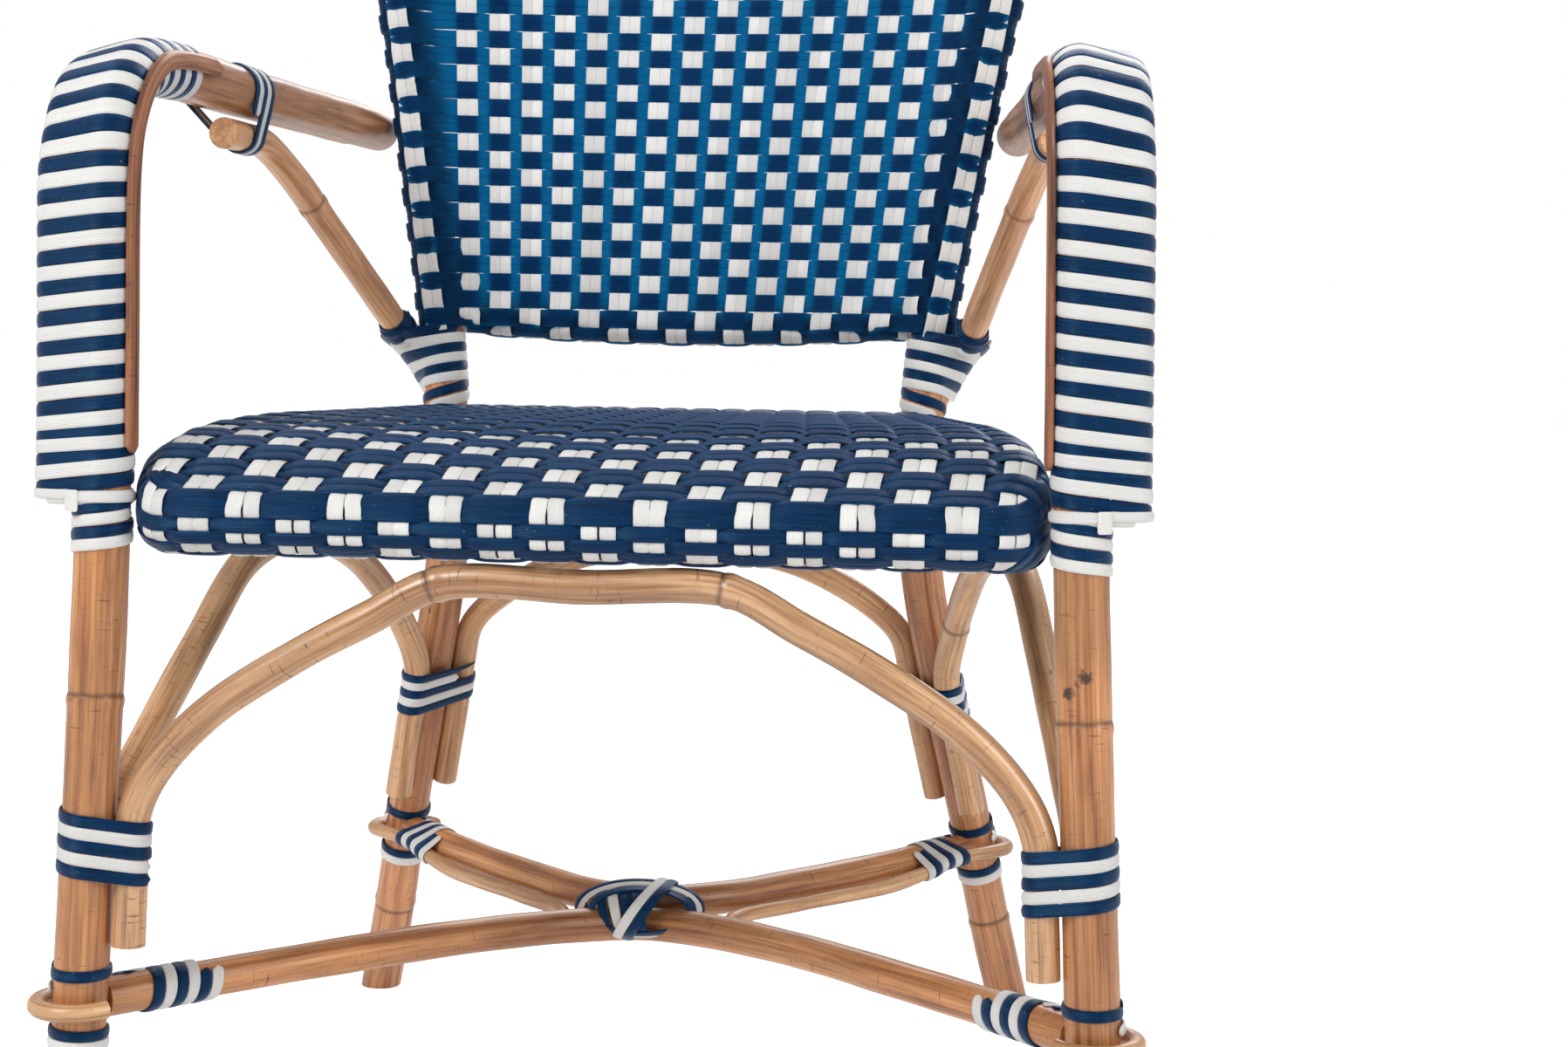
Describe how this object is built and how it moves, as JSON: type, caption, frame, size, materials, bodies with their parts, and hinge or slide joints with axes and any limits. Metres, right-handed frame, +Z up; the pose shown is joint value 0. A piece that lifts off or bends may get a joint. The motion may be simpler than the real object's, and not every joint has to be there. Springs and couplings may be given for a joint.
{
  "type": "rattan bistro armchair",
  "caption": "Open-arm bistro chair of bent rattan poles, with a checkered woven seat and hollowed back, striped wrapped arms and strip bindings at the joints.",
  "frame": {"origin": "centre of the footprint box on the floor, between the four feet", "axes": "+Z up, the chair faces -Y, its right side in the picture is at +X"},
  "size_m": [0.6146, 0.5724, 0.8871],
  "materials": {
    "pole_rattan": "varnished rattan, satin",
    "hoop_rattan": "varnished rattan, satin, a little darker",
    "pale_rattan": "varnished rattan, satin, pale",
    "woven_strip": "ridged polyethylene strip, navy with white checks",
    "navy_strip": "ridged polyethylene strip, navy",
    "white_strip": "ridged polyethylene strip, white"
  },
  "bodies": {
    "root": {"front_leg_and_arm_right": "pole_rattan", "front_leg_and_arm_left": "pole_rattan", "arm_outer_pole_right": "pole_rattan", "arm_outer_pole_left": "pole_rattan", "arm_brace_right": "pole_rattan", "arm_brace_left": "pole_rattan", "stretcher_rear_bow": "pole_rattan", "stretcher_front_bow": "pole_rattan", "seat_lower_rail": "pole_rattan", "seat_upper_rail": "pole_rattan", "back_lower_rail": "pole_rattan", "rear_legs_and_back_hoop": "hoop_rattan", "arm_edge_cane_right": "hoop_rattan", "arm_edge_cane_left": "hoop_rattan", "front_arch": "pale_rattan", "rear_arch": "pale_rattan", "side_arch_right": "pale_rattan", "side_arch_left": "pale_rattan", "stretcher_loop_cane_right": "pale_rattan", "stretcher_loop_cane_left": "pale_rattan", "seat_weave": "woven_strip", "back_weave": "woven_strip", "back_edge_weave": "woven_strip", "arm_wrap_navy_right": "navy_strip", "arm_wrap_navy_left": "navy_strip", "arm_wrap_white_right": "white_strip", "arm_wrap_white_left": "white_strip", "seat_corner_binding_navy_right": "navy_strip", "seat_corner_binding_navy_left": "navy_strip", "seat_corner_binding_white_right": "white_strip", "seat_corner_binding_white_left": "white_strip", "front_arch_binding_navy_right": "navy_strip", "front_arch_binding_navy_left": "navy_strip", "front_arch_binding_white_right": "white_strip", "front_arch_binding_white_left": "white_strip", "rear_leg_binding_navy_right": "navy_strip", "rear_leg_binding_navy_left": "navy_strip", "rear_leg_binding_white_right": "white_strip", "rear_leg_binding_white_left": "white_strip", "back_post_binding_navy_right": "navy_strip", "back_post_binding_navy_left": "navy_strip", "back_post_binding_white_right": "white_strip", "back_post_binding_white_left": "white_strip", "brace_top_binding_navy_right": "navy_strip", "brace_top_binding_navy_left": "navy_strip", "brace_top_binding_white_right": "white_strip", "brace_top_binding_white_left": "white_strip", "rear_stretcher_binding_navy_right": "navy_strip", "rear_stretcher_binding_navy_left": "navy_strip", "rear_stretcher_binding_white_right": "white_strip", "rear_stretcher_binding_white_left": "white_strip", "front_stretcher_binding_navy_right": "navy_strip", "front_stretcher_binding_navy_left": "navy_strip", "front_stretcher_binding_white_right": "white_strip", "front_stretcher_binding_white_left": "white_strip", "stretcher_crossing_binding_navy": "navy_strip", "stretcher_crossing_binding_white": "white_strip"}
  },
  "joints": []
}
